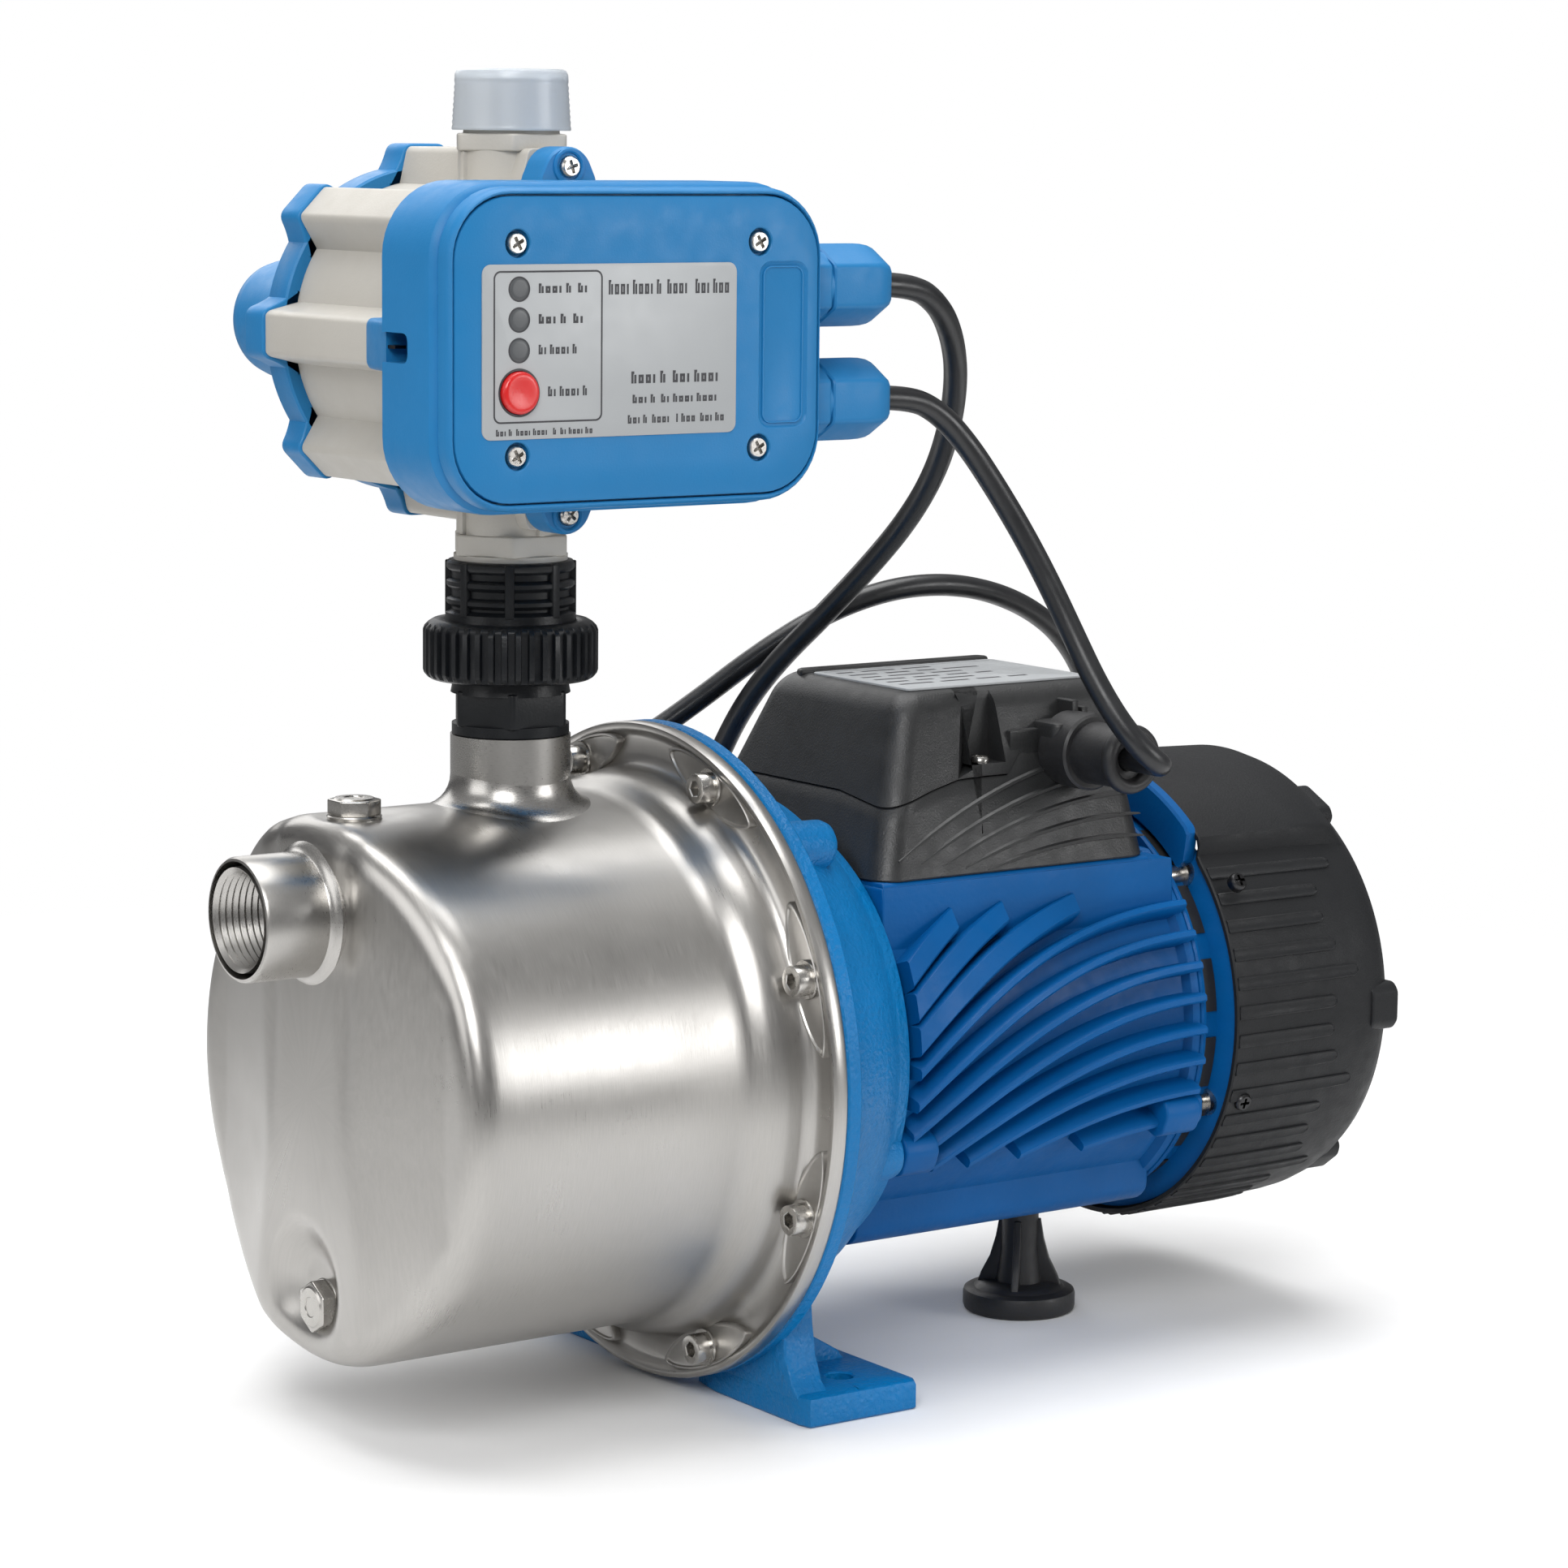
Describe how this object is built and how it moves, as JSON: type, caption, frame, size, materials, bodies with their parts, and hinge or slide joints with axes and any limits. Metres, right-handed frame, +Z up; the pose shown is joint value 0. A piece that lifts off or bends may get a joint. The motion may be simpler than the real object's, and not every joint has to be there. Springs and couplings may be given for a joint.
{
  "type": "shallow well jet pump",
  "caption": "Self-priming shallow well jet pump with stainless casing, finned motor, terminal box and an electronic pressure controller on its outlet.",
  "frame": {"origin": "on the floor, midway between the two foot bolt holes", "axes": "+X along the shaft from the suction end to the fan, +Z up, controller panel towards -Y"},
  "size_m": [0.4328, 0.394, 0.4348],
  "materials": {
    "stainless": "satin brushed stainless",
    "zinc_steel": "bright zinc plated",
    "blue_paint": "orange-peel enamel",
    "charcoal_plastic": "fine grained",
    "black_plastic": "fine grained",
    "blue_plastic": "semi-gloss moulded",
    "grey_plastic": "moulded",
    "label_film": "printed silver film",
    "red_plastic": "moulded",
    "clear_plastic": "translucent milky",
    "black_rubber": "smooth",
    "cast_iron": "as cast",
    "brass": "turned",
    "copper_wire": "enamelled wire",
    "tan_plastic": "glass filled",
    "board_green": "solder mask",
    "cord_pvc": "satin PVC"
  },
  "bodies": {
    "root": {"pump_casing": "stainless", "suction_port": "stainless", "discharge_port": "stainless", "flange_pads": "stainless", "flange_bolts": "zinc_steel", "casing_oring": "black_rubber", "ejector_body": "tan_plastic", "ejector_nozzle": "brass", "venturi_tube": "tan_plastic", "diffuser": "tan_plastic", "seal_stationary": "charcoal_plastic", "seal_plate": "stainless", "motor_bracket": "blue_paint", "motor_bolts": "zinc_steel", "ball_bearings": "zinc_steel", "stator_core": "cast_iron", "stator_winding": "copper_wire", "motor_housing": "blue_paint", "rear_end_shield": "blue_paint", "fan_cover": "charcoal_plastic", "fan_cover_screws": "zinc_steel", "support_foot": "black_rubber", "terminal_box_base": "black_plastic", "terminal_box_cover": "black_plastic", "box_screws": "zinc_steel", "nameplate": "label_film", "capacitor": "grey_plastic", "terminal_block": "tan_plastic", "box_gland": "black_plastic", "union_adapter": "black_plastic", "union_tail": "black_plastic", "controller_body": "grey_plastic", "valve_spring": "stainless", "diaphragm": "black_rubber", "diaphragm_spring": "zinc_steel", "rear_cover": "blue_plastic", "controller_housing": "blue_plastic", "controller_lid": "blue_plastic", "control_label": "label_film", "indicator_leds": "clear_plastic", "circuit_board": "board_green", "controller_screws": "zinc_steel", "cable_glands": "blue_plastic", "motor_cable": "cord_pvc", "mains_lead": "cord_pvc", "mains_coil": "cord_pvc", "coil_tie": "black_plastic", "mains_plug": "black_rubber"},
    "rotor": {"rotor_shaft": "stainless", "rotor_core": "cast_iron", "impeller": "brass", "impeller_nut": "stainless", "seal_rotating": "charcoal_plastic", "cooling_fan": "charcoal_plastic"},
    "button": {"restart_button": "red_plastic"},
    "valve": {"check_valve": "grey_plastic"},
    "nut": {"union_nut": "black_plastic"},
    "cap": {"thread_cap": "clear_plastic"},
    "fill_plug": {"priming_plug": "stainless"},
    "drain": {"drain_plug": "stainless"}
  },
  "joints": [
    {"name": "rotor_spin", "type": "hinge", "parent": "root", "child": "rotor", "pos_m": [0, 0, 0.112], "axis": [1, 0, 0], "continuous": true},
    {"name": "button_press", "type": "slide", "parent": "root", "child": "button", "axis": [0, 1, 0], "range_m": [0, 0.0022], "stiffness_N_per_m": 300},
    {"name": "valve_lift", "type": "slide", "parent": "root", "child": "valve", "axis": [0, 0, 1], "range_m": [0, 0.006], "stiffness_N_per_m": 150, "deforming": ["valve_spring"]},
    {"name": "nut_turn", "type": "hinge", "parent": "root", "child": "nut", "pos_m": [-0.087, 0, 0.25], "axis": [0, 0, 1], "continuous": true},
    {"name": "cap_lift", "type": "slide", "parent": "root", "child": "cap", "axis": [0, 0, 1], "range_m": [0, 0.03]},
    {"name": "fill_plug_out", "type": "slide", "parent": "root", "child": "fill_plug", "axis": [0, 0, 1], "range_m": [0, 0.02]},
    {"name": "drain_plug_out", "type": "slide", "parent": "root", "child": "drain", "axis": [-1, 0, 0], "range_m": [0, 0.02]}
  ]
}
